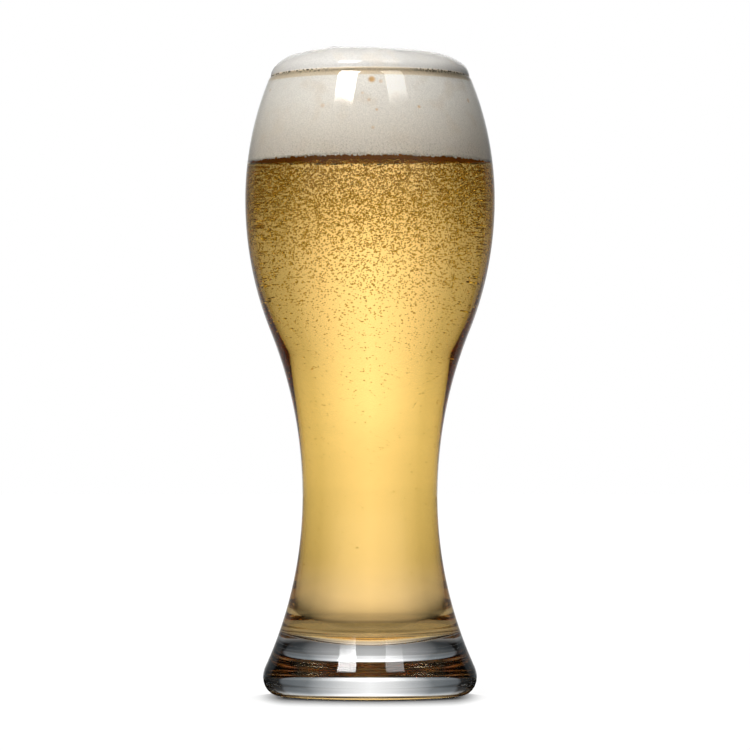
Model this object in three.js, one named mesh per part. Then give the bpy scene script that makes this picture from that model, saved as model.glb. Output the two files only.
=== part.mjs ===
// Tall waisted half-litre beer glass, full of lager under a head of foam.
// Millimetres, +Z up, origin at the middle of the underside.
import * as THREE from 'three';

// Outside of the glass, from the table up
const FOOT_RADIUS = 37.3; // at the widest point of the foot
const FOOT_RISE = 6.4; // height of that point above the table
const HEEL_WIDTH = 5.5; // how far the rounded heel turns in under the foot
const SHOULDER_ARC = 9; // radius of the round shoulder above the foot
const FLARE_RISE = 63.1; // from the widest point of the foot up to the waist
const WAIST_RADIUS = 23.6;
const BOWL_RISE = 103.8; // from the waist up to the belly
const BOWL_ARC = 124.3; // radius of the round of the bowl below the belly
const BELLY_RADIUS = 43.7;
const MOUTH_RISE = 42.7; // from the belly up to the top of the lip
const MOUTH_RADIUS = 35.6; // outside of the wall at the lip

// Inside of the glass
const WALL = 2.4;
const FLOOR_THICKNESS = 14.2; // of the heavy base, at its middle
const FLOOR_ARC = 60; // radius of the dished floor
const CORNER_ARC = 3; // radius of the round between the floor and the wall

// Contents
const HEAD_DEPTH = 30.3; // from the top of the lip down to the beer
const HEAD_RISE = 10.1; // from the top of the lip up to the top of the foam
const HEAD_LAP = THREE.MathUtils.degToRad(25); // foam over the lip, past its top
const HEAD_SQUARENESS = 2.5; // exponent of the dome, where 2 is an ellipse
const CLEARANCE = 0.3; // between the glass, the beer and the foam

// Fineness of the facets
const SIDES = 48;
const CHORD_ERROR = 0.08;
const HEEL_STEPS = 5;
const DOME_STEPS = 12;

// Heights of the main circles
const WAIST_HEIGHT = FOOT_RISE + FLARE_RISE;
const BELLY_HEIGHT = WAIST_HEIGHT + BOWL_RISE;
const LIP_HEIGHT = BELLY_HEIGHT + MOUTH_RISE;
const BEER_LEVEL = LIP_HEIGHT - HEAD_DEPTH;

// Each S between two vertical tangents is two arcs that turn by the same angle
const FLARE_TURN = 2 * Math.atan((FOOT_RADIUS - WAIST_RADIUS) / FLARE_RISE);
const FLARE_ARC = FLARE_RISE / Math.sin(FLARE_TURN) - SHOULDER_ARC;
const BOWL_TURN = 2 * Math.atan((BELLY_RADIUS - WAIST_RADIUS) / BOWL_RISE);
const WAIST_ARC = BOWL_RISE / Math.sin(BOWL_TURN) - BOWL_ARC;

// The mouth is one arc from the belly to the centre of the round lip
const LIP_ARC = WALL / 2;
const LIP_RISE = MOUTH_RISE - LIP_ARC;
const MOUTH_DRAW = BELLY_RADIUS - MOUTH_RADIUS;
const MOUTH_ARC = (LIP_RISE ** 2 + MOUTH_DRAW ** 2) / (2 * MOUTH_DRAW) + LIP_ARC;
const MOUTH_TURN = Math.asin(LIP_RISE / (MOUTH_ARC - LIP_ARC));

// Centres of the arcs, as radius and height
const SHOULDER_CENTRE = new THREE.Vector2(FOOT_RADIUS - SHOULDER_ARC, FOOT_RISE);
const FLARE_CENTRE = new THREE.Vector2(WAIST_RADIUS + FLARE_ARC, WAIST_HEIGHT);
const WAIST_CENTRE = new THREE.Vector2(WAIST_RADIUS + WAIST_ARC, WAIST_HEIGHT);
const BOWL_CENTRE = new THREE.Vector2(BELLY_RADIUS - BOWL_ARC, BELLY_HEIGHT);
const MOUTH_CENTRE = new THREE.Vector2(BELLY_RADIUS - MOUTH_ARC, BELLY_HEIGHT);
const LIP_CENTRE = new THREE.Vector2(MOUTH_RADIUS - LIP_ARC, LIP_HEIGHT - LIP_ARC);
const FLOOR_CENTRE = new THREE.Vector2(0, FLOOR_THICKNESS + FLOOR_ARC);
const CORNER_CENTRE = lowerMeeting(
  FLOOR_CENTRE,
  FLOOR_ARC - CORNER_ARC,
  FLARE_CENTRE,
  FLARE_ARC + WALL + CORNER_ARC,
);
const FLOOR_END = angleTo(FLOOR_CENTRE, CORNER_CENTRE);
const CORNER_END = angleTo(CORNER_CENTRE, FLARE_CENTRE);

// The point below the line of centres where two circles cross
function lowerMeeting(first, firstRadius, second, secondRadius) {
  const line = second.clone().sub(first);
  const span = line.length();
  const along = (firstRadius ** 2 - secondRadius ** 2 + span ** 2) / (2 * span);
  const aside = Math.sqrt(firstRadius ** 2 - along ** 2);
  const forward = line.divideScalar(span);
  const down = new THREE.Vector2(forward.y, -forward.x);
  return first.clone().addScaledVector(forward, along).addScaledVector(down, aside);
}

function angleTo(from, to) {
  return to.clone().sub(from).angle() - (to.y < from.y ? 2 * Math.PI : 0);
}

// Points along an arc, as many as keep its chords within CHORD_ERROR
function arc(centre, radius, start, end) {
  const step = 2 * Math.acos(1 - CHORD_ERROR / Math.abs(radius));
  const steps = Math.ceil(Math.abs(end - start) / step);
  const curve = new THREE.EllipseCurve(centre.x, centre.y, radius, radius, start, end, end < start);
  return curve.getPoints(steps);
}

// One outline from stretches that each start where the last one ends
function chain(first, ...rest) {
  return rest.reduce((points, stretch) => points.concat(stretch.slice(1)), first);
}

// The side wall from the flare up to the lip, inset from the outside
function wallSide(inset, flareTurn) {
  return chain(
    arc(FLARE_CENTRE, FLARE_ARC + inset, Math.PI + flareTurn, Math.PI),
    arc(WAIST_CENTRE, WAIST_ARC + inset, Math.PI, Math.PI - BOWL_TURN),
    arc(BOWL_CENTRE, BOWL_ARC - inset, -BOWL_TURN, 0),
    arc(MOUTH_CENTRE, MOUTH_ARC - inset, 0, MOUTH_TURN),
  );
}

// The hollow from the middle of its floor up to the lip, less a gap all round
function hollow(gap) {
  return chain(
    arc(FLOOR_CENTRE, FLOOR_ARC - gap, -Math.PI / 2, FLOOR_END),
    arc(CORNER_CENTRE, CORNER_ARC - gap, FLOOR_END, CORNER_END),
    wallSide(WALL + gap, CORNER_END),
  );
}

// Where a rising outline crosses a level
function crossing(points, level) {
  const above = points.findIndex((point) => point.y > level);
  const low = points[above - 1];
  const high = points[above];
  return low.clone().lerp(high, (level - low.y) / (high.y - low.y));
}

function turned(name, outline, material) {
  const mesh = new THREE.Mesh(new THREE.LatheGeometry(outline, SIDES), material);
  mesh.name = name;
  return mesh;
}

function makeGlass() {
  const heelStart = FOOT_RADIUS - HEEL_WIDTH;
  const heel = new THREE.EllipseCurve(heelStart, FOOT_RISE, HEEL_WIDTH, FOOT_RISE, -Math.PI / 2, 0);
  const outside = chain(
    [new THREE.Vector2(0, 0), new THREE.Vector2(heelStart, 0)],
    heel.getPoints(HEEL_STEPS),
    arc(SHOULDER_CENTRE, SHOULDER_ARC, 0, FLARE_TURN),
    wallSide(0, FLARE_TURN),
    arc(LIP_CENTRE, LIP_ARC, MOUTH_TURN, MOUTH_TURN + Math.PI),
  );
  const material = new THREE.MeshStandardMaterial({
    color: '#dfe6e4',
    roughness: 0.03,
    metalness: 0,
    transparent: true,
    opacity: 0.35,
  });
  return turned('glass', chain(outside, hollow(0).reverse()), material);
}

function makeBeer() {
  const side = hollow(CLEARANCE);
  const edge = crossing(side, BEER_LEVEL);
  const outline = side.filter((point) => point.y < BEER_LEVEL);
  outline.push(edge, new THREE.Vector2(0, BEER_LEVEL));
  const material = new THREE.MeshStandardMaterial({
    color: '#e3b34f',
    roughness: 0.05,
    metalness: 0,
    transparent: true,
    opacity: 0.8,
  });
  return turned('beer', outline, material);
}

function makeFoam() {
  const level = BEER_LEVEL + CLEARANCE;
  const side = hollow(CLEARANCE);
  const underside = [new THREE.Vector2(0, level), crossing(side, level)];
  const inside = underside.concat(side.filter((point) => point.y > level));
  const lap = arc(LIP_CENTRE, LIP_ARC + CLEARANCE, MOUTH_TURN + Math.PI, Math.PI / 2 - HEAD_LAP);
  const brim = lap[lap.length - 1];
  const domeRise = LIP_HEIGHT + HEAD_RISE - brim.y;
  const dome = [brim];
  for (let step = 1; step < DOME_STEPS; step += 1) {
    const angle = (step / DOME_STEPS) * (Math.PI / 2);
    const out = brim.x * Math.cos(angle) ** (2 / HEAD_SQUARENESS);
    const up = domeRise * Math.sin(angle) ** (2 / HEAD_SQUARENESS);
    dome.push(new THREE.Vector2(out, brim.y + up));
  }
  dome.push(new THREE.Vector2(0, brim.y + domeRise));
  const material = new THREE.MeshStandardMaterial({ color: '#e0d9cc', roughness: 0.75, metalness: 0 });
  return turned('foam_head', chain(inside, lap, dome), material);
}

// The outlines turn about Y, and the group stands them up along Z
const beerGlass = new THREE.Group();
beerGlass.add(makeGlass(), makeBeer(), makeFoam());
beerGlass.rotation.x = Math.PI / 2;

export default beerGlass;
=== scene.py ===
import math
import random
from collections import namedtuple

import bmesh
import bpy
import numpy as np
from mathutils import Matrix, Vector, noise


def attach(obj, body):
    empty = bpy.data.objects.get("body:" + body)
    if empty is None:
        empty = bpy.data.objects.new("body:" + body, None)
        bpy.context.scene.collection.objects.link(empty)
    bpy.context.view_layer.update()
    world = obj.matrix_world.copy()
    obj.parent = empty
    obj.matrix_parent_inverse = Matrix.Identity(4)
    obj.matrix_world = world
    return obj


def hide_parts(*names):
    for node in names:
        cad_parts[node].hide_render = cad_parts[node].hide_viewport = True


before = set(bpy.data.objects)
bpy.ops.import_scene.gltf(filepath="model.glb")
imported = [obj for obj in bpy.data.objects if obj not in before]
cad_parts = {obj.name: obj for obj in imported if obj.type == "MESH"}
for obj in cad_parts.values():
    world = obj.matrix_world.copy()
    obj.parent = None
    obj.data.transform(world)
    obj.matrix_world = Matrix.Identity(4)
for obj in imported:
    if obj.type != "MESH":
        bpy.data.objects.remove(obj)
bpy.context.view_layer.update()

MM = 0.001
WHITE = (1, 1, 1, 1)
BLACK = (0, 0, 0, 1)

# Outside of the glass, from the table up
FOOT_RADIUS = 37.3 * MM
FOOT_RISE = 6.4 * MM
HEEL_WIDTH = 5.5 * MM
SHOULDER_ARC = 9 * MM
FLARE_RISE = 63.1 * MM
WAIST_RADIUS = 23.6 * MM
BOWL_RISE = 103.8 * MM
BOWL_ARC = 124.3 * MM
BELLY_RADIUS = 43.7 * MM
MOUTH_RISE = 42.7 * MM
MOUTH_RADIUS = 35.6 * MM

# Inside of the glass
WALL = 2.4 * MM
FLOOR_THICKNESS = 14.2 * MM
FLOOR_ARC = 60 * MM
CORNER_ARC = 3 * MM

# Contents
HEAD_DEPTH = 30.3 * MM
HEAD_RISE = 10.1 * MM
HEAD_LAP = math.radians(25)
HEAD_SQUARENESS = 2.5
BEER_WETTING = 0.10 * MM   # how far the beer reaches into the wall, so that no air shows between them
FOAM_WETTING = 0.16 * MM
BEER_INTO_FOAM = 1.2 * MM

# Fineness of the meshes
SIDES = 320
FOAM_SIDES = 640
STEP = 1.7 * MM
FEWEST_STEPS = 6
FLAT_RINGS = 12
UNDERSIDE_RINGS = 20
DOME_RINGS = 60
BAND_POSTS = 97
BUBBLE_FINENESS = 1
CELL_FINENESS = 2

# Heights and arcs that follow
WAIST_HEIGHT = FOOT_RISE + FLARE_RISE
BELLY_HEIGHT = WAIST_HEIGHT + BOWL_RISE
LIP_HEIGHT = BELLY_HEIGHT + MOUTH_RISE
BEER_LEVEL = LIP_HEIGHT - HEAD_DEPTH
FLARE_TURN = 2 * math.atan((FOOT_RADIUS - WAIST_RADIUS) / FLARE_RISE)
FLARE_ARC = FLARE_RISE / math.sin(FLARE_TURN) - SHOULDER_ARC
BOWL_TURN = 2 * math.atan((BELLY_RADIUS - WAIST_RADIUS) / BOWL_RISE)
WAIST_ARC = BOWL_RISE / math.sin(BOWL_TURN) - BOWL_ARC
LIP_ARC = WALL / 2
LIP_RISE = MOUTH_RISE - LIP_ARC
MOUTH_DRAW = BELLY_RADIUS - MOUTH_RADIUS
MOUTH_ARC = (LIP_RISE ** 2 + MOUTH_DRAW ** 2) / (2 * MOUTH_DRAW) + LIP_ARC
MOUTH_TURN = math.asin(LIP_RISE / (MOUTH_ARC - LIP_ARC))

# Centres of the arcs, as radius and height
SHOULDER_CENTRE = Vector((FOOT_RADIUS - SHOULDER_ARC, FOOT_RISE))
FLARE_CENTRE = Vector((WAIST_RADIUS + FLARE_ARC, WAIST_HEIGHT))
WAIST_CENTRE = Vector((WAIST_RADIUS + WAIST_ARC, WAIST_HEIGHT))
BOWL_CENTRE = Vector((BELLY_RADIUS - BOWL_ARC, BELLY_HEIGHT))
MOUTH_CENTRE = Vector((BELLY_RADIUS - MOUTH_ARC, BELLY_HEIGHT))
LIP_CENTRE = Vector((MOUTH_RADIUS - LIP_ARC, LIP_HEIGHT - LIP_ARC))
FLOOR_CENTRE = Vector((0, FLOOR_THICKNESS + FLOOR_ARC))

# Glass and beer
GLASS_TINT = (0.985, 0.992, 0.99, 1)
GLASS_IOR = 1.5
SMEAR_NOISE = (60.0, 4.0)   # scale and detail
SMEAR_EDGE = (0.5, 0.9)
SMEAR_ROUGHNESS = 0.03
RIPPLE_NOISE = (180.0, 1.0)
RIPPLE_STRENGTH = 0.015
RIPPLE_DEPTH = 0.2 * MM
BEER_TINT = (1.0, 0.70, 0.33, 1)
BEER_IOR = 1.34
BEER_DEEP_COLOUR = (1.0, 0.75, 0.0, 1)
BEER_DENSITY = 4.0
BEER_EDGE = (0.2 * MM, 1 * MM)   # from the rim of the beer's surface to its next two rings

# Foam: colours
# Foam from its dry top down to the beer turns darker: partly the wetter foam, partly painted shade where
# less light reaches from above
FOAM_DRY = (0.90, 0.865, 0.80)
FOAM_WET_AND_SHADED = (0.72, 0.655, 0.56)
# painted shade: the dome is given a darker colour than the foam under the glass, to offset the stronger
# light that falls on it
FOAM_DOME_SHADED = (0.65, 0.627, 0.585, 1)
FOAM_MOTTLE = (0.74, 0.64, 0.51, 1)
FOAM_SOAKED = (0.66, 0.36, 0.09, 1)
FOAM_DOT = (0.40, 0.34, 0.26, 1)
FOAM_RIM = (0.80, 0.68, 0.50, 1)
# painted shade: near-black specks, only at both sides of the brim
FOAM_SHADE_SPECK = (0.05, 0.045, 0.03, 1)
# painted shade under the foam, where little light reaches
FOAM_UNDERSIDE_SHADE = (0.60, 0.25, 0.04, 1)
FOAM_ROUGHNESS = 0.6
DOME_GLOSS = 0.5
DOME_WETNESS = 0.07   # roughness of the wet skin on the dome

# Foam: the two places between which each look sets in
DOME_EDGE = (LIP_HEIGHT + 0.1 * MM, LIP_HEIGHT + 0.8 * MM)
COARSE_EDGE = (BEER_LEVEL + 12 * MM, BEER_LEVEL)
RIM_LOW_EDGE = (LIP_HEIGHT - 2.8 * MM, LIP_HEIGHT - 2.2 * MM)
RIM_HIGH_EDGE = (LIP_HEIGHT + 0.6 * MM, LIP_HEIGHT + 0.1 * MM)
BRIM_LOW_EDGE = (LIP_HEIGHT - 1.4 * MM, LIP_HEIGHT - 0.8 * MM)
BRIM_SIDE_EDGE = (10 * MM, 22 * MM)
UNDERSIDE_SHADE_EDGE = (BEER_LEVEL + 0.4 * MM, BEER_LEVEL + 0.1 * MM)
UNDERSIDE_SHADE_INSET = (0.5 * MM, 0.9 * MM)
SPOT_EDGE = (1.4, 0.4)   # in radii of the spot

# Foam: scales and limits of its patterns
MOTTLE_NOISE = (140.0, 3.0)   # scale and detail
MOTTLE_EDGE = (0.48, 0.72)
MOTTLE_STRENGTH = 0.35
DOT_SCALE = 1300.0
DOT_EDGE = (0.40, 0.20)
DOT_STRENGTH = 0.4
SPECK_SCALE = 1200.0
SPECK_EDGE = (0.56, 0.40)
GRAIN_NOISE = (2600.0, 2.0)
GRAIN_EDGE = (0.3, 0.7)
GRAIN_RANGE = (0.88, 1.06)
PIT_SCALE = 1800.0
PIT_STRENGTH = 0.25
PIT_DEPTH = 0.15 * MM

# Foam: shape
LUMPS = (   # width, height and shift of each size of lump on the dome
    (13 * MM, 1.1 * MM, Vector((3.1, 0.4, 7.7))),
    (6 * MM, 0.35 * MM, Vector()),
    (3 * MM, 0.15 * MM, Vector()))
RAGGED_WIDTH = 1.1 * MM
RAGGED_DEPTH = 0.55 * MM
RAGGED_REACH = (2 * MM, 0.5 * MM)   # in from the wall and up from the beer
FOAM_EDGE_INSET = 0.3 * MM   # from the wall to the last ring of the underside
FOAM_SIDE_START = 1 * MM   # above the underside

# Drops of beer in the foam: turn from the front in degrees, height and radius in millimetres, strength
DROPS = (
    (1, 211.7, 1.2, 0.85),
    (6, 211.0, 0.7, 0.35),
    (-4, 206.9, 0.5, 0.3),
    (-0.5, 204.5, 0.6, 0.35),
    (-25, 202.8, 0.8, 0.3),
    (26, 202.4, 0.6, 0.55),
    (3.5, 201.1, 0.5, 0.5),
    (1.5, 194.9, 0.6, 0.35),
    (64, 206.0, 0.8, 0.4),
    (97, 198.0, 0.6, 0.5),
    (141, 209.0, 1.0, 0.7),
    (168, 200.0, 0.6, 0.4),
    (187, 207.5, 0.9, 0.6),
    (214, 196.0, 0.6, 0.4),
    (252, 204.0, 0.7, 0.5),
    (289, 210.0, 0.6, 0.4))

# Coarse cells of the foam against the wall
CELL_COUNT = 2300
CELL_SEED = 31
CELL_START = -0.3 * MM   # from the beer up
CELL_MEAN_RISE = 3.2 * MM
CELL_TOP = 16 * MM
CELL_RADIUS = (0.22 * MM, 0.42 * MM)   # least and most
CELL_BULGE = (0.05 * MM, 0.16 * MM)

# Gas bubbles
BUBBLE_TINT = (0.97, 0.90, 0.52, 1)
BUBBLE_WALL_GAP = 0.25 * MM
UPPER_COUNT = 5600   # in each of the four upper pieces
UPPER_SEED = 11
UPPER_START = 1.4 * MM   # below the beer's surface
UPPER_SPREAD = 22 * MM
UPPER_RADIUS = (0.16 * MM, 0.31 * MM)   # least and most
UPPER_INWARD = (2.5 * MM, 2.5 * MM, 2.5 * MM, 12 * MM)   # mean distance from the wall, one of these
FINEST_DEPTH = 60 * MM
FINEST_SHRINK = 0.35   # share of the radius lost by that depth
LOWER_COUNT = 1200
LOWER_SEED = 21
LOWER_START = 10 * MM
LOWER_MEAN_DEPTH = 38 * MM
LOWER_LIMIT = 150 * MM
LOWER_RADIUS = (0.12 * MM, 0.22 * MM)
LOWER_INWARD = 8 * MM

# The photograph's camera
PIXEL = 0.35 * MM
IMAGE_SIZE = 750
SENSOR_WIDTH = 36   # in millimetres
CAMERA_DISTANCE = 1400 * MM
CAMERA_HEIGHT = 72.5 * MM
CAMERA_TILT = math.radians(1.609)
FOCAL_PIXELS = 4003
AXIS_X_PIXEL = 370

# The thin warm screen behind the glass
VEIL_PLACE = 46 * MM   # from the axis
VEIL_HEIGHT = 200 * MM
VEIL_TILT = math.radians(4)   # its foot leans toward the glass
VEIL_COLOUR = (1.0, 0.95, 0.50, 1)
VEIL_GLOW = 1.66
VEIL_SIDE_EDGE = (45 * MM, 28 * MM)
VEIL_WARM_EDGE = (22 * MM, 45 * MM)
VEIL_DENSITY = (   # by the share of its height
    (0.0, 0.0),
    (0.095, 0.0),
    (0.115, 0.25),
    (0.14, 0.30),
    (0.18, 0.31),
    (0.25, 0.40),
    (0.34, 0.47),
    (0.43, 0.50),
    (0.525, 0.52),
    (0.625, 0.46),
    (0.73, 0.30),
    (0.80, 0.23),
    (0.875, 0.18),
    (1.0, 0.12))

# The glow about the glass, open toward the panel behind
BAND_START = math.radians(33)   # turn from +Y
BAND_RADIUS = 60 * MM
BAND_HEIGHT = 210 * MM
BAND_COLOUR = (1.0, 0.98, 0.86, 1)
BAND_TOP_COLOUR = (1.0, 0.94, 0.74, 1)
BAND_GLOW = 1.3
BAND_END_EDGE = (0.82 * BAND_RADIUS, 0.68 * BAND_RADIUS)
BAND_DENSITY = (   # by the share of its height
    (0.0, 0.35),
    (0.1, 0.55),
    (0.25, 0.80),
    (0.5, 0.95),
    (0.7, 0.80),
    (0.85, 0.50),
    (1.0, 0.20))

# Two dim lamp faces high in front
LAMP_FACE_START = math.radians(110)   # turn from +Y
LAMP_FACE_PLACE = 300 * MM
LAMP_FACE_HEIGHT = 300 * MM
LAMP_FACE_GLOW = 0.46
LAMP_FACE_ACROSS = (110 * MM, 210 * MM, 15 * MM)   # from, to and blur
LAMP_FACE_UP = (205 * MM, 280 * MM, 20 * MM)
LAMP_FACE_MIDDLE = (230 * MM, 255 * MM, 40 * MM)
LAMP_FACE_DIM = (0.8, 0.8, 0.8, 1)

# The panel far behind and the room
PANEL_COLOURS = (   # by the share of half a turn from +Y
    (0.0, (1.0, 1.0, 1.0)),
    (0.045, (0.79, 0.79, 0.79)),
    (0.083, (0.50, 0.51, 0.52)),
    (0.139, (0.175, 0.19, 0.20)),
    (0.194, (0.13, 0.145, 0.155)),
    (0.239, (0.115, 0.125, 0.135)),
    (0.262, (0.015, 0.015, 0.015)),
    (0.45, (0.01, 0.01, 0.01)))
PANEL_LIFT = 1.6   # how much brighter the panel is higher up
PANEL_LIFT_EDGE = (0.05, 0.2)   # by the Z of the direction
PANEL_TOP_EDGE = (0.35, 0.6)
PANEL_TOP = 0.3
ROOM_FRONT_EDGE = (-0.2, -0.6)   # by the Y of the direction
ROOM_FRONT_UP = (0.12, 0.4, 0.1)   # from, to and blur
ROOM_FRONT_GLOW = 0.25   # of the room in front, low down, through the glass

# Soft light on what is matt: where each lamp is and its strength
LAMP_FOCUS = 30.0
SOFT_LAMPS = (
    (Vector((-0.36, -0.869, 0.342)), 18.4),
    (Vector((0.06, 0.08, 0.995)), 12.0),
    (Vector((0.10, 0.960, 0.259)), 13.6))
ROOM_LIGHT = 0.02

# The two soft boxes in front, whose reflections show on the glass
SOFTBOXES = (   # name, turn from the front and watts
    ("softbox_left", math.radians(-30.5), 330),
    ("softbox_right", math.radians(33), 98))
SOFTBOX_SIZE = (2.0, 2.66)
SOFTBOX_DISTANCE = 6.0
SOFTBOX_ELEVATION = math.radians(47.5)
SOFTBOX_TARGET = Vector((0, 0, 0.11))
SOFTBOX_EDGE = 0.06
SOFTBOX_FADE = 0.3   # share of its length over which its lower end fades

# The floor
FLOOR_SIZE = 80
FLOOR_DROP = 0.1 * MM
FLOOR_ROUGHNESS = 0.9
FLOOR_MATT = 0.05
FLOOR_MATT_SEEN = 0.1
FLOOR_SHARE_SEEN = 0.9   # of its own glow, where nothing shades it
TABLE_GLOW = 2.0   # of the lit table, on what is matt
NEAR_RANGE = 200 * MM
# painted shadow of the glass on the floor seen through it: dark near the foot, full glow further out
NEAR_PAINTED_SHADOW = ((0.225, 0.08), (0.35, 0.50), (0.55, 0.58), (0.80, 1.0))   # by the share of that range
PANEL_FOOT = 44 * MM   # from the axis to where the panel's glow on the floor spreads from
OPEN_SIDE_EDGE = (0.25, 0.0)   # by the cosine of the turn from +Y
OPEN_FRONT_EDGE = (-0.4, -0.8)
OPEN_FRONT_STRETCH = 3.3
OPEN_EDGE = (300 * MM, 500 * MM)
FOOT_GLOW = 0.3   # of the table beside the foot, through the glass
FOOT_GLOW_EDGE = (54 * MM, 40 * MM)
FOOT_GLOW_FRONT = (-30 * MM, -5 * MM)
FRONT_GLOW = 0.4   # of the table in front of the foot, through the glass
FRONT_GLOW_EDGE = (-8 * MM, -30 * MM)
FRONT_GLOW_NEAR = (41 * MM, 49 * MM)

# The shadow at the foot
SHADOW_WIDTH_EDGE = (46 * MM, 26 * MM)
SHADOW_FRONT_EDGE = (10 * MM, -25 * MM)
SHADOW_LEAST = 3 * MM
SHADOW_REACH = 38 * MM
SHADOW_POWER = 5.5
SHADOW_SIDE_EDGE = (40.5 * MM, 28.5 * MM)
SHADOW_AT_SIDES = 0.06
SHADOW_SAMPLES = 16

# Bounces
MOST_BOUNCES = 32
GLOSSY_BOUNCES = 12


# Outlines

def lower_meeting(first, first_radius, second, second_radius):
    """The point below the line of centres where two circles cross."""
    line = second - first
    span = line.length
    along = (first_radius ** 2 - second_radius ** 2 + span ** 2) / (2 * span)
    aside = math.sqrt(first_radius ** 2 - along ** 2)
    forward = line / span
    return first + forward * along + Vector((forward.y, -forward.x)) * aside


def angle_to(start, end):
    return math.atan2(end.y - start.y, end.x - start.x)


CORNER_CENTRE = lower_meeting(
    FLOOR_CENTRE, FLOOR_ARC - CORNER_ARC, FLARE_CENTRE, FLARE_ARC + WALL + CORNER_ARC)
FLOOR_END = angle_to(FLOOR_CENTRE, CORNER_CENTRE)
CORNER_END = angle_to(CORNER_CENTRE, FLARE_CENTRE)


def oval(centre, across, up, start, end):
    """Points along part of an ellipse, about STEP apart and at least a few."""
    length = abs(end - start) * max(across, up)
    steps = max(FEWEST_STEPS, math.ceil(length / STEP))
    angles = np.linspace(start, end, steps + 1)
    return [Vector((centre.x + across * math.cos(a), centre.y + up * math.sin(a))) for a in angles]


def arc(centre, radius, start, end):
    return oval(centre, radius, radius, start, end)


def chain(first, *rest):
    """One outline from stretches that each start where the last one ends."""
    points = list(first)
    for stretch in rest:
        points += stretch[1:]
    return points


def wall_side(inset, flare_turn):
    """The side wall from the flare up to the lip, inset from the outside."""
    return chain(
        arc(FLARE_CENTRE, FLARE_ARC + inset, math.pi + flare_turn, math.pi),
        arc(WAIST_CENTRE, WAIST_ARC + inset, math.pi, math.pi - BOWL_TURN),
        arc(BOWL_CENTRE, BOWL_ARC - inset, -BOWL_TURN, 0),
        arc(MOUTH_CENTRE, MOUTH_ARC - inset, 0, MOUTH_TURN))


def hollow(gap):
    """The hollow from the middle of its floor up to the lip, less a gap all round."""
    return chain(
        arc(FLOOR_CENTRE, FLOOR_ARC - gap, -math.pi / 2, FLOOR_END),
        arc(CORNER_CENTRE, CORNER_ARC - gap, FLOOR_END, CORNER_END),
        wall_side(WALL + gap, CORNER_END))


def crossing(points, level):
    """Where a rising outline crosses a level."""
    above = next(i for i, point in enumerate(points) if point.y > level)
    low, high = points[above - 1], points[above]
    return low.lerp(high, (level - low.y) / (high.y - low.y))


HOLLOW_SIDE = hollow(0)


def hollow_radius(height):
    return crossing(HOLLOW_SIDE, height).x


# Meshes

def lathe(outline, sides=SIDES):
    """Vertices and faces of an outline turned about Z, where its two ends lie on the axis."""
    rings = outline[1:-1]
    angles = np.arange(sides) * (2 * math.pi / sides)
    radius = np.array([point.x for point in rings])
    height = np.array([point.y for point in rings])
    ring_points = np.stack([
        np.outer(radius, np.cos(angles)),
        np.outer(radius, np.sin(angles)),
        np.repeat(height[:, None], sides, axis=1)], axis=2).reshape(-1, 3)
    ends = [(0, 0, outline[0].y), (0, 0, outline[-1].y)]
    vertices = np.vstack([ring_points, ends])
    first_pole, last_pole = len(ring_points), len(ring_points) + 1
    here = np.arange(sides)
    after = (here + 1) % sides
    faces = []
    for ring in range(len(rings) - 1):
        low, high = ring * sides, (ring + 1) * sides
        faces += np.stack([low + here, low + after, high + after, high + here], axis=1).tolist()
    last = (len(rings) - 1) * sides
    faces += [[first_pole, int(b), int(a)] for a, b in zip(here, after)]
    faces += [[last_pole, int(last + a), int(last + b)] for a, b in zip(here, after)]
    return vertices, faces


def add_piece(name, vertices, faces, material, replaces=()):
    mesh = bpy.data.meshes.new(name)
    mesh.from_pydata(np.asarray(vertices).tolist(), [], faces)
    mesh.polygons.foreach_set("use_smooth", [True] * len(mesh.polygons))
    mesh.materials.append(material)
    mesh.update()
    piece = bpy.data.objects.new(name, mesh)
    bpy.context.scene.collection.objects.link(piece)
    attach(piece, "root")
    if replaces:
        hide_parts(*replaces)


# Shader nodes

def new_material(name):
    material = bpy.data.materials.new(name)
    material.use_nodes = True
    tree = material.node_tree
    return material, tree, tree.nodes["Principled BSDF"]


def add_node(tree, kind, **settings):
    node = tree.nodes.new(kind)
    for key, value in settings.items():
        setattr(node, key, value)
    return node


def object_point(tree):
    return add_node(tree, "ShaderNodeTexCoord").outputs["Object"]


def split(tree, vector):
    """The X, Y and Z of a vector."""
    node = add_node(tree, "ShaderNodeSeparateXYZ")
    tree.links.new(vector, node.inputs[0])
    return node.outputs


def vector_length(tree, vector):
    node = add_node(tree, "ShaderNodeVectorMath", operation="LENGTH")
    tree.links.new(vector, node.inputs[0])
    return node.outputs["Value"]


def noise_value(tree, point, scale, detail):
    node = add_node(tree, "ShaderNodeTexNoise")
    node.inputs["Scale"].default_value = scale
    node.inputs["Detail"].default_value = detail
    tree.links.new(point, node.inputs["Vector"])
    return node.outputs["Fac"]


def cell_distance(tree, point, scale):
    """Distance from the middle of the nearest of many scattered cells."""
    node = add_node(tree, "ShaderNodeTexVoronoi")
    node.inputs["Scale"].default_value = scale
    tree.links.new(point, node.inputs["Vector"])
    return node.outputs["Distance"]


def bump_normal(tree, height, strength, distance):
    node = add_node(tree, "ShaderNodeBump")
    node.inputs["Strength"].default_value = strength
    node.inputs["Distance"].default_value = distance
    tree.links.new(height, node.inputs["Height"])
    return node.outputs["Normal"]


def ramp(tree, factor, stops, interpolation="LINEAR"):
    node = add_node(tree, "ShaderNodeValToRGB")
    band = node.color_ramp
    band.interpolation = interpolation
    while len(band.elements) < len(stops):
        band.elements.new(0.5)
    for element, (place, colour) in zip(band.elements, stops):
        element.position = place
        element.color = (*colour, 1.0)
    tree.links.new(factor, node.inputs["Fac"])
    return node.outputs["Color"]


def grey_ramp(tree, factor, stops, interpolation="LINEAR"):
    return ramp(tree, factor, [(place, (grey,) * 3) for place, grey in stops], interpolation)


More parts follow.
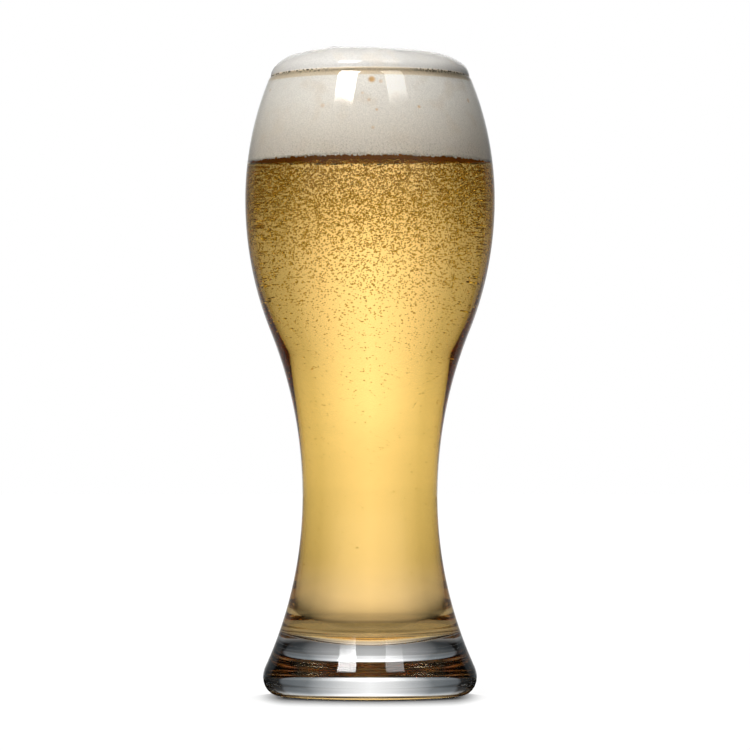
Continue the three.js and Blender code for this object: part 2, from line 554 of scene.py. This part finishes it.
def calculate(tree, operation, *values):
    node = add_node(tree, "ShaderNodeMath", operation=operation)
    for socket, value in zip(node.inputs, values):
        if isinstance(value, (int, float)):
            socket.default_value = value
        else:
            tree.links.new(value, socket)
    return node.outputs[0]


def product(tree, first, *rest):
    for value in rest:
        first = calculate(tree, "MULTIPLY", first, value)
    return first


def remainder(tree, value):
    """What is left of one."""
    return calculate(tree, "SUBTRACT", 1.0, value)


def map_range(tree, value, low, high, to_low=0.0, to_high=1.0):
    node = add_node(tree, "ShaderNodeMapRange", interpolation_type="SMOOTHSTEP")
    for name, number in (("From Min", low), ("From Max", high), ("To Min", to_low), ("To Max", to_high)):
        node.inputs[name].default_value = number
    tree.links.new(value, node.inputs["Value"])
    return node.outputs[0]


def between(tree, value, low, high, blur):
    """One where a value lies between two limits, fading to nothing just outside them."""
    rising = map_range(tree, value, low - blur, low)
    falling = map_range(tree, value, high + blur, high)
    return product(tree, rising, falling)


def mix_colour(tree, factor, first, second):
    node = add_node(tree, "ShaderNodeMix", data_type="RGBA")
    for name, value in (("Factor", factor), ("A", first), ("B", second)):
        if isinstance(value, tuple):
            node.inputs[name].default_value = value
        else:
            tree.links.new(value, node.inputs[name])
    return node.outputs["Result"]


# Materials

def glass_material():
    material, tree, shader = new_material("clear_glass")
    shader.inputs["Base Color"].default_value = GLASS_TINT
    shader.inputs["Transmission Weight"].default_value = 1.0
    shader.inputs["IOR"].default_value = GLASS_IOR
    point = object_point(tree)
    smears = noise_value(tree, point, *SMEAR_NOISE)
    roughness = map_range(tree, smears, *SMEAR_EDGE, 0.0, SMEAR_ROUGHNESS)
    tree.links.new(roughness, shader.inputs["Roughness"])
    ripple = noise_value(tree, point, *RIPPLE_NOISE)
    normal = bump_normal(tree, ripple, RIPPLE_STRENGTH, RIPPLE_DEPTH)
    tree.links.new(normal, shader.inputs["Normal"])
    return material


def beer_material():
    material, tree, shader = new_material("lager")
    shader.inputs["Base Color"].default_value = BEER_TINT
    shader.inputs["Transmission Weight"].default_value = 1.0
    shader.inputs["IOR"].default_value = BEER_IOR
    shader.inputs["Roughness"].default_value = 0.0
    absorption = add_node(tree, "ShaderNodeVolumeAbsorption")
    absorption.inputs["Color"].default_value = BEER_DEEP_COLOUR
    absorption.inputs["Density"].default_value = BEER_DENSITY
    tree.links.new(absorption.outputs[0], tree.nodes["Material Output"].inputs["Volume"])
    return material


def soft_spots(tree, point):
    """Soft round spots where drops of beer lie between the foam and the wall."""
    cover = 0.0
    wide, narrow = SPOT_EDGE
    for turn, height, radius, strength in DROPS:
        angle = math.radians(turn - 90)   # the front is -Y
        out = hollow_radius(height * MM) + FOAM_WETTING
        gap = add_node(tree, "ShaderNodeVectorMath", operation="DISTANCE")
        tree.links.new(point, gap.inputs[0])
        gap.inputs[1].default_value = (out * math.cos(angle), out * math.sin(angle), height * MM)
        distance = gap.outputs["Value"]
        spot = map_range(tree, distance, wide * radius * MM, narrow * radius * MM, 0.0, strength)
        cover = calculate(tree, "MAXIMUM", spot, cover)
    return cover


def wet_patterns(tree, point, height, tint):
    """The mottle, the soaked spots and the dark dots of coarse cells low in the foam."""
    mottle = noise_value(tree, point, *MOTTLE_NOISE)
    mottle = map_range(tree, mottle, *MOTTLE_EDGE, 0.0, MOTTLE_STRENGTH)
    tint = mix_colour(tree, mottle, tint, FOAM_MOTTLE)
    tint = mix_colour(tree, soft_spots(tree, point), tint, FOAM_SOAKED)
    coarse = map_range(tree, height, *COARSE_EDGE)
    dots = map_range(tree, cell_distance(tree, point, DOT_SCALE), *DOT_EDGE)
    return mix_colour(tree, product(tree, dots, DOT_STRENGTH, coarse), tint, FOAM_DOT)


def rim_patterns(tree, point, parts, tint):
    """The tinted ring under the lip, and painted shade: near-black specks along the brim at both sides."""
    height = parts["Z"]
    rim_low = map_range(tree, height, *RIM_LOW_EDGE)
    rim_high = map_range(tree, height, *RIM_HIGH_EDGE)
    tint = mix_colour(tree, product(tree, rim_low, rim_high), tint, FOAM_RIM)
    brim_low = map_range(tree, height, *BRIM_LOW_EDGE)
    at_sides = map_range(tree, calculate(tree, "ABSOLUTE", parts["X"]), *BRIM_SIDE_EDGE)
    dots = map_range(tree, cell_distance(tree, point, SPECK_SCALE), *SPECK_EDGE)
    specks = product(tree, dots, product(tree, brim_low, rim_high, at_sides))
    # painted shade: dark specks at both sides of the brim
    return mix_colour(tree, specks, tint, FOAM_SHADE_SPECK)


def underside_shade_cover(tree, point, height):
    """Where the foam's underside is painted in shade, but for its edge at the wall."""
    flat = add_node(tree, "ShaderNodeVectorMath", operation="MULTIPLY")
    tree.links.new(point, flat.inputs[0])
    flat.inputs[1].default_value = (1, 1, 0)
    out = vector_length(tree, flat.outputs[0])
    wall = hollow_radius(BEER_LEVEL)
    start, end = UNDERSIDE_SHADE_INSET
    inner = map_range(tree, out, wall - start, wall - end)
    return product(tree, map_range(tree, height, *UNDERSIDE_SHADE_EDGE), inner)


def foam_material():
    material, tree, shader = new_material("foam")
    point = object_point(tree)
    parts = split(tree, point)
    height = parts["Z"]
    # darker toward the beer: partly the wetter foam, partly painted shade
    wetness_and_shade = map_range(tree, height, LIP_HEIGHT, BEER_LEVEL)
    tint = ramp(tree, wetness_and_shade, [(0.0, FOAM_DRY), (1.0, FOAM_WET_AND_SHADED)])
    dome = map_range(tree, height, *DOME_EDGE)
    # painted shade: the dome darker than the foam under the glass
    tint = mix_colour(tree, dome, tint, FOAM_DOME_SHADED)
    tint = wet_patterns(tree, point, height, tint)
    tint = rim_patterns(tree, point, parts, tint)
    # painted shade on the foam's underside
    tint = mix_colour(tree, underside_shade_cover(tree, point, height), tint, FOAM_UNDERSIDE_SHADE)
    grain = map_range(tree, noise_value(tree, point, *GRAIN_NOISE), *GRAIN_EDGE, *GRAIN_RANGE)
    grained = add_node(tree, "ShaderNodeVectorMath", operation="SCALE")
    tree.links.new(tint, grained.inputs[0])
    tree.links.new(grain, grained.inputs["Scale"])
    tree.links.new(grained.outputs[0], shader.inputs["Base Color"])
    shader.inputs["Roughness"].default_value = FOAM_ROUGHNESS
    tree.links.new(product(tree, dome, DOME_GLOSS), shader.inputs["Specular IOR Level"])
    tree.links.new(dome, shader.inputs["Coat Weight"])
    shader.inputs["Coat Roughness"].default_value = DOME_WETNESS
    pits = cell_distance(tree, point, PIT_SCALE)
    tree.links.new(bump_normal(tree, pits, PIT_STRENGTH, PIT_DEPTH), shader.inputs["Normal"])
    return material


def bubble_material():
    material, tree, shader = new_material("gas_bubble")
    tree.nodes.remove(shader)
    glass = add_node(tree, "ShaderNodeBsdfGlass")
    glass.inputs["Color"].default_value = BUBBLE_TINT
    glass.inputs["IOR"].default_value = 1 / BEER_IOR
    glass.inputs["Roughness"].default_value = 0.0
    tree.links.new(glass.outputs[0], tree.nodes["Material Output"].inputs["Surface"])
    return material


# Pieces

def make_glass():
    heel_start = FOOT_RADIUS - HEEL_WIDTH
    flat = [Vector((r, 0)) for r in np.linspace(0, heel_start, FLAT_RINGS)]
    outside = chain(
        flat,
        oval(Vector((heel_start, FOOT_RISE)), HEEL_WIDTH, FOOT_RISE, -math.pi / 2, 0),
        arc(SHOULDER_CENTRE, SHOULDER_ARC, 0, FLARE_TURN),
        wall_side(0, FLARE_TURN),
        arc(LIP_CENTRE, LIP_ARC, MOUTH_TURN, MOUTH_TURN + math.pi))
    vertices, faces = lathe(chain(outside, HOLLOW_SIDE[::-1]))
    add_piece("glass_body", vertices, faces, glass_material(), ["glass"])


def make_beer():
    level = BEER_LEVEL + BEER_INTO_FOAM
    side = hollow(-BEER_WETTING)
    edge = crossing(side, level)
    outer, inner = BEER_EDGE
    outline = [point for point in side if point.y < level]
    outline += [edge, Vector((edge.x - outer, level))]
    outline += [Vector((r, level)) for r in np.linspace(edge.x - inner, 0, FLAT_RINGS)]
    vertices, faces = lathe(outline)
    add_piece("beer_fill", vertices, faces, beer_material(), ["beer"])


def lumpy(point):
    """Height of the foam's soft lumps and small pits at a point, in metres."""
    flat = Vector((point[0], point[1], 0))
    return sum(noise.noise(flat / width + shift) * height for width, height, shift in LUMPS)


def ragged(point):
    """Unevenness of the foam's lower edge, where its bubbles meet the beer."""
    return noise.noise(Vector(point) / RAGGED_WIDTH) * RAGGED_DEPTH


def make_foam(material):
    side = hollow(-FOAM_WETTING)
    edge = crossing(side, BEER_LEVEL)
    last_ring = edge.x - FOAM_EDGE_INSET
    underside = [Vector((r, BEER_LEVEL)) for r in np.linspace(0, last_ring, UNDERSIDE_RINGS)]
    inside = underside + [edge] + [point for point in side if point.y > BEER_LEVEL + FOAM_SIDE_START]
    lap = arc(LIP_CENTRE, LIP_ARC - FOAM_WETTING, MOUTH_TURN + math.pi, math.pi / 2 - HEAD_LAP)
    brim = lap[-1]
    rise = LIP_HEIGHT + HEAD_RISE - brim.y
    power = 2 / HEAD_SQUARENESS
    dome = [Vector((brim.x * math.cos(a) ** power, brim.y + rise * math.sin(a) ** power))
            for a in np.linspace(0, math.pi / 2, DOME_RINGS)[:-1]]
    dome.append(Vector((0, brim.y + rise)))
    vertices, faces = lathe(chain(inside, lap, dome), FOAM_SIDES)
    ragged_inward, ragged_upward = RAGGED_REACH
    for vertex in vertices:
        at_wall = math.hypot(vertex[0], vertex[1]) > edge.x - ragged_inward
        if vertex[2] > brim.y:
            vertex[2] += lumpy(vertex) * (vertex[2] - brim.y) / rise
        elif vertex[2] < BEER_LEVEL + ragged_upward and at_wall:
            vertex[2] += ragged(vertex)
    add_piece("foam_crown", vertices, faces, material, ["foam_head"])


def ball(subdivisions):
    mesh = bmesh.new()
    bmesh.ops.create_icosphere(mesh, subdivisions=subdivisions, radius=1.0)
    points = np.array([v.co for v in mesh.verts])
    faces = np.array([[v.index for v in face.verts] for face in mesh.faces])
    mesh.free()
    return points, faces


def add_balls(name, balls, subdivisions, material):
    """One piece of many small balls, each given by its turn, distance from the axis, height and radius."""
    points, triangles = ball(subdivisions)
    vertices, faces = [], []
    for index, (turn, out, height, radius) in enumerate(balls):
        centre = np.array([out * math.cos(turn), out * math.sin(turn), height])
        vertices.append(points * radius + centre)
        faces.append(triangles + index * len(points))
    add_piece(name, np.vstack(vertices), np.vstack(faces).tolist(), material)


def falling_off(chance, mean, limit):
    """A chance length that thins out with the given mean and stays below a limit."""
    length = limit
    while length >= limit:
        length = chance.expovariate(1 / mean)
    return length


def foam_cell(chance):
    """A coarse bubble of the foam against the wall, most of them where the foam meets the beer."""
    height = BEER_LEVEL + CELL_START + falling_off(chance, CELL_MEAN_RISE, CELL_TOP)
    radius = chance.uniform(*CELL_RADIUS)
    bulge = chance.uniform(*CELL_BULGE)
    out = hollow_radius(height) + FOAM_WETTING + bulge - radius
    return chance.uniform(0, 2 * math.pi), out, height, radius


def gas_bubble(chance, depth, radius, inward):
    """A bubble at some depth, nearer the wall than the axis more often than not."""
    height = BEER_LEVEL - depth
    room = hollow_radius(height) - radius - BUBBLE_WALL_GAP
    out = room - falling_off(chance, inward, room)
    return chance.uniform(0, 2 * math.pi), out, height, radius


def upper_bubble(chance):
    """One of the many below the foam, which get finer and fewer with the depth."""
    depth = UPPER_START + abs(chance.gauss(0, UPPER_SPREAD))
    growth = 1 - FINEST_SHRINK * min(depth / FINEST_DEPTH, 1)
    radius = chance.uniform(*UPPER_RADIUS) * growth
    inward = chance.choice(UPPER_INWARD)
    return gas_bubble(chance, depth, radius, inward)


def lower_bubble(chance):
    """One of the few that are spread further down."""
    depth = LOWER_START + falling_off(chance, LOWER_MEAN_DEPTH, LOWER_LIMIT)
    return gas_bubble(chance, depth, chance.uniform(*LOWER_RADIUS), LOWER_INWARD)


def scatter(draw, count, seed):
    chance = random.Random(seed)
    return [draw(chance) for _ in range(count)]


def make_bubbles():
    gas = bubble_material()
    for index, letter in enumerate("abcd"):
        balls = scatter(upper_bubble, UPPER_COUNT, UPPER_SEED + index)
        add_balls("bubbles_upper_" + letter, balls, BUBBLE_FINENESS, gas)
    balls = scatter(lower_bubble, LOWER_COUNT, LOWER_SEED)
    add_balls("bubbles_lower", balls, BUBBLE_FINENESS, gas)


# Stage, light and camera

# Which rays meet the stage: the camera's own, those through the glass, those of them that nothing
# has reflected, or at most once, and those that have met something matt
Rays = namedtuple("Rays", "seen through straight glanced scattered")


def ray_kinds(tree):
    path = add_node(tree, "ShaderNodeLightPath").outputs
    scattered = calculate(tree, "GREATER_THAN", path["Diffuse Depth"], 0.5)
    through = product(tree, path["Is Transmission Ray"], remainder(tree, scattered))
    straight = product(tree, through, calculate(tree, "LESS_THAN", path["Glossy Depth"], 0.5))
    glanced = product(tree, through, calculate(tree, "LESS_THAN", path["Glossy Depth"], 1.5))
    return Rays(path["Is Camera Ray"], through, straight, glanced, scattered)


def studio_glow(tree, across, forward):
    """The soft panel far behind the glass, between dark flags, by the turn from +Y."""
    turn = calculate(tree, "ARCTAN2", calculate(tree, "ABSOLUTE", across), forward)
    return ramp(tree, calculate(tree, "DIVIDE", turn, math.pi), PANEL_COLOURS)


def lamp_light(tree, direction):
    """Soft light on what is matt: a lamp in front on the left, one above, one behind, and a dim room."""
    light = ROOM_LIGHT
    for place, strength in SOFT_LAMPS:
        toward = add_node(tree, "ShaderNodeVectorMath", operation="DOT_PRODUCT")
        tree.links.new(direction, toward.inputs[0])
        toward.inputs[1].default_value = place
        facing = calculate(tree, "MAXIMUM", toward.outputs["Value"], 0.0)
        focused = calculate(tree, "POWER", facing, LAMP_FOCUS)
        light = calculate(tree, "MULTIPLY_ADD", focused, strength, light)
    return light


def contact_shade(tree, across, forward):
    """How open a point of the floor is: a painted shadow in the floor's glow, drawn out to the front as
    light from behind would draw it.
    """
    aside = calculate(tree, "ABSOLUTE", across)
    width = map_range(tree, aside, *SHADOW_WIDTH_EDGE)
    front = map_range(tree, forward, *SHADOW_FRONT_EDGE)
    reach = calculate(tree, "MULTIPLY_ADD", product(tree, width, front), SHADOW_REACH, SHADOW_LEAST)
    node = add_node(tree, "ShaderNodeAmbientOcclusion", samples=SHADOW_SAMPLES)
    tree.links.new(reach, node.inputs["Distance"])
    dark = remainder(tree, calculate(tree, "POWER", node.outputs["AO"], SHADOW_POWER))
    gate = map_range(tree, aside, *SHADOW_SIDE_EDGE, SHADOW_AT_SIDES, 1.0)
    return remainder(tree, product(tree, dark, gate))


def floor_through_glass(tree, across, forward, away, rays):
    """What the floor shows through the glass: the panel's glow on it, darkened by a painted shadow of the
    glass near the foot, and its open and near parts.
    """
    near = grey_ramp(tree, calculate(tree, "DIVIDE", away, NEAR_RANGE), NEAR_PAINTED_SHADOW)
    behind = calculate(tree, "SUBTRACT", forward, PANEL_FOOT)
    colour = mix_colour(tree, near, BLACK, studio_glow(tree, across, behind))
    facing = calculate(tree, "DIVIDE", forward, away)
    aside = map_range(tree, facing, *OPEN_SIDE_EDGE)
    stretch = map_range(tree, facing, *OPEN_FRONT_EDGE, 1.0, OPEN_FRONT_STRETCH)
    far = map_range(tree, product(tree, away, stretch), *OPEN_EDGE)
    colour = mix_colour(tree, product(tree, rays.straight, product(tree, far, aside)), colour, WHITE)
    beside = map_range(tree, away, *FOOT_GLOW_EDGE, 0.0, FOOT_GLOW)
    beside = product(tree, beside, map_range(tree, forward, *FOOT_GLOW_FRONT))
    colour = mix_colour(tree, product(tree, beside, rays.through), colour, WHITE)
    before = map_range(tree, forward, *FRONT_GLOW_EDGE, 0.0, FRONT_GLOW)
    before = product(tree, before, map_range(tree, away, *FRONT_GLOW_NEAR))
    return mix_colour(tree, product(tree, before, rays.straight), colour, WHITE)


def make_floor():
    bpy.ops.mesh.primitive_plane_add(size=FLOOR_SIZE, location=(0, 0, -FLOOR_DROP))
    floor = bpy.context.object
    floor.name = "floor"
    material, tree, shader = new_material("floor")
    shader.inputs["Roughness"].default_value = FLOOR_ROUGHNESS
    shader.inputs["Specular IOR Level"].default_value = 0.0
    point = object_point(tree)
    parts = split(tree, point)
    across, forward = parts["X"], parts["Y"]
    away = vector_length(tree, point)
    rays = ray_kinds(tree)
    around = floor_through_glass(tree, across, forward, away, rays)
    tree.links.new(mix_colour(tree, rays.seen, around, WHITE), shader.inputs["Emission Color"])
    shade = contact_shade(tree, across, forward)
    shade = calculate(tree, "MULTIPLY_ADD", shade, FLOOR_SHARE_SEEN, -1.0)
    strength = calculate(tree, "MULTIPLY_ADD", rays.seen, shade, 1.0)
    lit = product(tree, rays.scattered, TABLE_GLOW)
    strength = calculate(tree, "MULTIPLY_ADD", remainder(tree, rays.scattered), strength, lit)
    tree.links.new(strength, shader.inputs["Emission Strength"])
    seen_matt = product(tree, rays.seen, FLOOR_MATT_SEEN)
    matt = calculate(tree, "MULTIPLY_ADD", rays.scattered, FLOOR_MATT, seen_matt)
    tree.links.new(matt, shader.inputs["Base Color"])
    floor.data.materials.append(material)


def make_screen(screen, cover, colour, glow):
    """Makes a mesh a thin glowing screen that shows only through the glass, as dense as cover() says."""
    screen.visible_camera = False
    screen.visible_diffuse = False
    screen.visible_shadow = False
    material, tree, shader = new_material(screen.name)
    material.cycles.emission_sampling = "NONE"
    tree.nodes.remove(shader)
    parts = split(tree, add_node(tree, "ShaderNodeNewGeometry").outputs["Position"])
    emission = add_node(tree, "ShaderNodeEmission")
    tree.links.new(colour(tree, parts), emission.inputs["Color"])
    emission.inputs["Strength"].default_value = glow
    clear = add_node(tree, "ShaderNodeBsdfTransparent")
    mix = add_node(tree, "ShaderNodeMixShader")
    tree.links.new(cover(tree, parts, ray_kinds(tree)), mix.inputs[0])
    tree.links.new(clear.outputs[0], mix.inputs[1])
    tree.links.new(emission.outputs[0], mix.inputs[2])
    tree.links.new(mix.outputs[0], tree.nodes["Material Output"].inputs["Surface"])
    screen.data.materials.append(material)


def veil_cover(tree, parts, rays):
    """Densest at half its height, none at its foot, and only as wide as the glass."""
    share = calculate(tree, "DIVIDE", parts["Z"], VEIL_HEIGHT)
    density = grey_ramp(tree, share, VEIL_DENSITY, "B_SPLINE")
    width = map_range(tree, calculate(tree, "ABSOLUTE", parts["X"]), *VEIL_SIDE_EDGE)
    return product(tree, density, width, rays.through)


def veil_colour(tree, parts):
    """Warm, but neutral low down."""
    return mix_colour(tree, map_range(tree, parts["Z"], *VEIL_WARM_EDGE), WHITE, VEIL_COLOUR)


def make_veil():
    place = (0, VEIL_PLACE, VEIL_HEIGHT / 2)
    tilt = (math.pi / 2 - VEIL_TILT, 0, 0)
    bpy.ops.mesh.primitive_plane_add(size=VEIL_HEIGHT, location=place, rotation=tilt)
    veil = bpy.context.object
    veil.name = "veil"
    make_screen(veil, veil_cover, veil_colour, VEIL_GLOW)


def band_cover(tree, parts, rays):
    """Dense at half height, with soft ends toward the panel, and only for rays that nothing reflected."""
    share = calculate(tree, "DIVIDE", parts["Z"], BAND_HEIGHT)
    density = grey_ramp(tree, share, BAND_DENSITY, "B_SPLINE")
    sides = map_range(tree, parts["Y"], *BAND_END_EDGE)
    return product(tree, density, sides, rays.straight)


def band_colour(tree, parts):
    """Warmer toward its top."""
    rise = map_range(tree, parts["Z"], 0.0, BAND_HEIGHT)
    return mix_colour(tree, rise, BAND_COLOUR, BAND_TOP_COLOUR)


def lamp_cover(tree, parts, rays):
    """Two dim faces high in front, where the lamps stand."""
    wide = between(tree, calculate(tree, "ABSOLUTE", parts["X"]), *LAMP_FACE_ACROSS)
    high = between(tree, parts["Z"], *LAMP_FACE_UP)
    return product(tree, wide, high, rays.through)


def lamp_colour(tree, parts):
    """Brighter in the middle of each face."""
    return mix_colour(tree, between(tree, parts["Z"], *LAMP_FACE_MIDDLE), LAMP_FACE_DIM, WHITE)


def make_band(name, radius, height, start):
    """An upright ring about the glass, open by an angle to each side of +Y."""
    angles = np.linspace(start, 2 * math.pi - start, BAND_POSTS)
    low = [(radius * math.sin(a), radius * math.cos(a), 0) for a in angles]
    high = [(x, y, height) for x, y, _ in low]
    count = len(angles)
    faces = [(i, i + 1, count + i + 1, count + i) for i in range(count - 1)]
    mesh = bpy.data.meshes.new(name)
    mesh.from_pydata(low + high, [], faces)
    band = bpy.data.objects.new(name, mesh)
    bpy.context.scene.collection.objects.link(band)
    return band


def make_surround():
    glow = make_band("glow_band", BAND_RADIUS, BAND_HEIGHT, BAND_START)
    make_screen(glow, band_cover, band_colour, BAND_GLOW)
    faces = make_band("lamp_faces", LAMP_FACE_PLACE, LAMP_FACE_HEIGHT, LAMP_FACE_START)
    make_screen(faces, lamp_cover, lamp_colour, LAMP_FACE_GLOW)


def make_world():
    world = bpy.data.worlds.new("studio")
    bpy.context.scene.world = world
    world.use_nodes = True
    world.cycles.sampling_method = "NONE"
    tree = world.node_tree
    background = tree.nodes["Background"]
    direction = add_node(tree, "ShaderNodeTexCoord").outputs["Generated"]
    parts = split(tree, direction)
    rays = ray_kinds(tree)
    up = parts["Z"]
    higher = map_range(tree, up, *PANEL_LIFT_EDGE, 1 / PANEL_LIFT, 1.0)
    overhead = map_range(tree, up, *PANEL_TOP_EDGE, 1.0, PANEL_TOP)
    panel = studio_glow(tree, parts["X"], parts["Y"])
    panel = mix_colour(tree, product(tree, higher, overhead), BLACK, panel)
    before = map_range(tree, parts["Y"], *ROOM_FRONT_EDGE, 0.0, ROOM_FRONT_GLOW)
    before = product(tree, before, between(tree, up, *ROOM_FRONT_UP), rays.glanced)
    panel = mix_colour(tree, before, panel, WHITE)
    shown = mix_colour(tree, rays.seen, panel, WHITE)
    tree.links.new(mix_colour(tree, rays.scattered, shown, WHITE), background.inputs["Color"])
    bright = calculate(tree, "MULTIPLY_ADD", rays.through, PANEL_LIFT - 1, 1.0)
    extra = calculate(tree, "SUBTRACT", lamp_light(tree, direction), bright)
    strength = calculate(tree, "MULTIPLY_ADD", rays.scattered, extra, bright)
    tree.links.new(strength, background.inputs["Strength"])


def add_softbox(name, azimuth, power):
    light = bpy.data.lights.new(name, "AREA")
    light.shape = "RECTANGLE"
    light.size, light.size_y = SOFTBOX_SIZE
    light.energy = power
    light.use_nodes = True
    tree = light.node_tree
    parts = split(tree, add_node(tree, "ShaderNodeNewGeometry").outputs["Parametric"])
    edges = between(tree, parts["X"], SOFTBOX_EDGE, 1 - SOFTBOX_EDGE, SOFTBOX_EDGE)
    fade = map_range(tree, parts["Y"], 0.0, SOFTBOX_FADE)
    tree.links.new(product(tree, edges, fade), tree.nodes["Emission"].inputs["Strength"])
    lamp = bpy.data.objects.new(name, light)
    direction = Vector((
        math.sin(azimuth) * math.cos(SOFTBOX_ELEVATION),
        -math.cos(azimuth) * math.cos(SOFTBOX_ELEVATION),
        math.sin(SOFTBOX_ELEVATION)))
    lamp.location = SOFTBOX_TARGET + direction * SOFTBOX_DISTANCE
    lamp.rotation_euler = (-direction).to_track_quat("-Z", "Y").to_euler()
    lamp.visible_camera = False
    lamp.visible_diffuse = False
    lamp.visible_transmission = False
    bpy.context.scene.collection.objects.link(lamp)


def make_camera():
    data = bpy.data.cameras.new("camera")
    data.sensor_width = SENSOR_WIDTH
    data.lens = SENSOR_WIDTH * FOCAL_PIXELS / IMAGE_SIZE
    camera = bpy.data.objects.new("camera", data)
    across = (IMAGE_SIZE / 2 - AXIS_X_PIXEL) * PIXEL
    camera.location = (across, -CAMERA_DISTANCE, CAMERA_HEIGHT)
    camera.rotation_euler = (math.pi / 2 + CAMERA_TILT, 0, 0)
    bpy.context.scene.collection.objects.link(camera)
    bpy.context.scene.camera = camera


def set_view():
    scene = bpy.context.scene
    scene.view_settings.view_transform = "Standard"
    scene.cycles.max_bounces = MOST_BOUNCES
    scene.cycles.transmission_bounces = MOST_BOUNCES
    scene.cycles.glossy_bounces = GLOSSY_BOUNCES


make_glass()
make_beer()
FOAM = foam_material()
make_foam(FOAM)
add_balls("foam_cells", scatter(foam_cell, CELL_COUNT, CELL_SEED), CELL_FINENESS, FOAM)
make_bubbles()
make_floor()
make_veil()
make_surround()
make_world()
for softbox, turn, watts in SOFTBOXES:
    add_softbox(softbox, turn, watts)
make_camera()
set_view()
